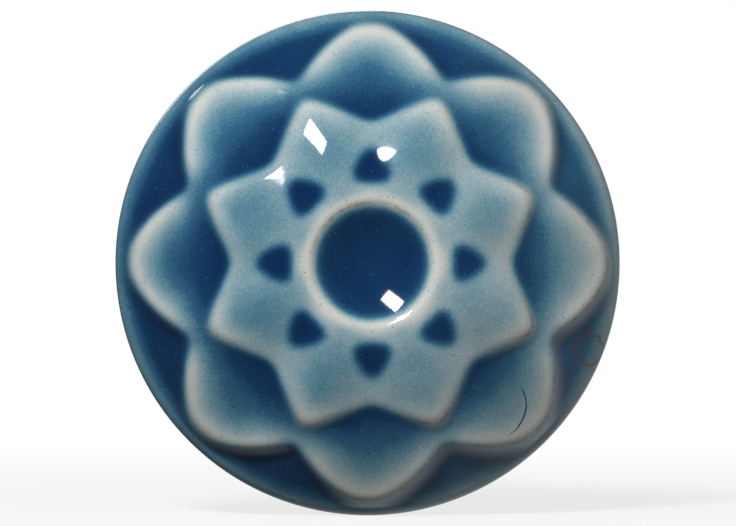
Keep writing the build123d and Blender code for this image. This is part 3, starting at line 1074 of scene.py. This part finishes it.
LOOK_AT = Vector((0, -rim_height, 0))
CAMERA_SIDE = radians(2.2)  # the camera stands this far to the left of the knob's axis
CAMERA_DISTANCE = 0.45
CAMERA_NEAR = 0.01
HEAD_IN_FRAME = 0.6856  # head's diameter as a share of the frame's width

# direction: from the knob to the light; power in watts
KEY = dict(direction=(-0.277, -0.755, 0.594), size=(0.145, 0.100), roll=radians(-33), power=2.5)
BACK_FILL = dict(direction=(-0.30, 0.95, 0.50), size=(0.34, 0.12), roll=0.0, power=0.35)
LIGHT_DISTANCE = 0.5

FLOOR_HALF = 4
FLOOR_GREY = (0.86, 0.86, 0.86, 1)
FLOOR_ROUGHNESS = 0.9
FLOOR_FADE = (0.02, 0.16)  # distances over which the paper goes over into plain white
FLOOR_WHITE = 0.78  # share of plain white under the knob

WHITE = (1, 1, 1, 1)
ROOM_COLOUR = (0.95, 0.97, 1.0, 1)
ROOM_STRENGTH = (0.09, 0.60)  # away from the pale wall, and towards it
PALE_WALL = (0.56, 0.60, -0.57)  # direction of the room's bright side: right, behind and below
PALE_WALL_EDGE = (0.45, 1.0)  # cosines of the turn from there at which it starts and is whole


def add_camera():
    """Camera almost head-on, a little to the left."""
    data = bpy.data.cameras.new("camera")
    camera = bpy.data.objects.new("camera", data)
    bpy.context.scene.collection.objects.link(camera)
    camera.location = LOOK_AT + CAMERA_DISTANCE * Vector((-sin(CAMERA_SIDE), -cos(CAMERA_SIDE), 0))
    camera.rotation_euler = (LOOK_AT - camera.location).to_track_quat("-Z", "Y").to_euler()
    data.lens = data.sensor_width * CAMERA_DISTANCE * HEAD_IN_FRAME / (2 * HEAD_RADIUS)
    data.clip_start = CAMERA_NEAR
    bpy.context.scene.camera = camera


def add_softbox(name, direction, size, roll, power):
    """Rectangular light that faces the knob."""
    data = bpy.data.lights.new(name, "AREA")
    data.shape = "RECTANGLE"
    data.size, data.size_y = size
    data.energy = power
    light = bpy.data.objects.new(name, data)
    bpy.context.scene.collection.objects.link(light)
    light.location = LOOK_AT + LIGHT_DISTANCE * Vector(direction).normalized()
    aim = (LOOK_AT - light.location).to_track_quat("-Z", "Y")
    light.rotation_euler = (aim @ Quaternion((0, 0, 1), roll)).to_euler()


def paper_material():
    """Pale paper near the knob, for its shadow, and plain white away from it."""
    material, tree, shader = new_material("floor_paper")
    shader.inputs["Base Color"].default_value = FLOOR_GREY
    shader.inputs["Roughness"].default_value = FLOOR_ROUGHNESS
    glow = add(tree, "ShaderNodeEmission")
    far = add(tree, "ShaderNodeVectorMath", operation="LENGTH", i0=object_place(tree)).outputs["Value"]
    fade = remap(tree, far, FLOOR_FADE, (FLOOR_WHITE, 1), "SMOOTHSTEP")
    blend = add(tree, "ShaderNodeMixShader", i0=fade, i1=shader.outputs[0], i2=glow.outputs[0])
    tree.links.new(blend.outputs[0], tree.nodes["Material Output"].inputs["Surface"])
    return material


def add_floor():
    """Floor at the knob's lowest point, which the glaze doesn't mirror."""
    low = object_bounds()[0][2]
    corners = [(-FLOOR_HALF, -FLOOR_HALF), (FLOOR_HALF, -FLOOR_HALF), (FLOOR_HALF, FLOOR_HALF),
               (-FLOOR_HALF, FLOOR_HALF)]
    mesh = bpy.data.meshes.new("floor")
    mesh.from_pydata([(x, y, low) for x, y in corners], [], [(0, 1, 2, 3)])
    floor = bpy.data.objects.new("floor", mesh)
    bpy.context.scene.collection.objects.link(floor)
    mesh.materials.append(paper_material())
    floor.visible_glossy = False
    floor.visible_diffuse = False


def light_world():
    """White to the eye. To the glaze, a dim room, so that its pools stay dark, with one pale side."""
    world = bpy.data.worlds.new("studio")
    bpy.context.scene.world = world
    world.use_nodes = True
    tree = world.node_tree
    seen = tree.nodes["Background"]
    seen.inputs["Color"].default_value = WHITE
    direction = tree.nodes.new("ShaderNodeTexCoord").outputs["Generated"]
    towards = add(tree, "ShaderNodeVectorMath", operation="DOT_PRODUCT", i0=direction, i1=PALE_WALL)
    strength = remap(tree, towards.outputs["Value"], PALE_WALL_EDGE, ROOM_STRENGTH, "SMOOTHSTEP")
    room = add(tree, "ShaderNodeBackground", Color=ROOM_COLOUR, Strength=strength)
    path = tree.nodes.new("ShaderNodeLightPath")
    blend = add(tree, "ShaderNodeMixShader", i0=path.outputs["Is Camera Ray"], i1=room.outputs[0],
                i2=seen.outputs[0])
    tree.links.new(blend.outputs[0], tree.nodes["World Output"].inputs["Surface"])


add_camera()
add_floor()
light_world()
add_softbox("key", **KEY)
add_softbox("back_fill", **BACK_FILL)
bpy.context.scene.view_settings.view_transform = "Standard"
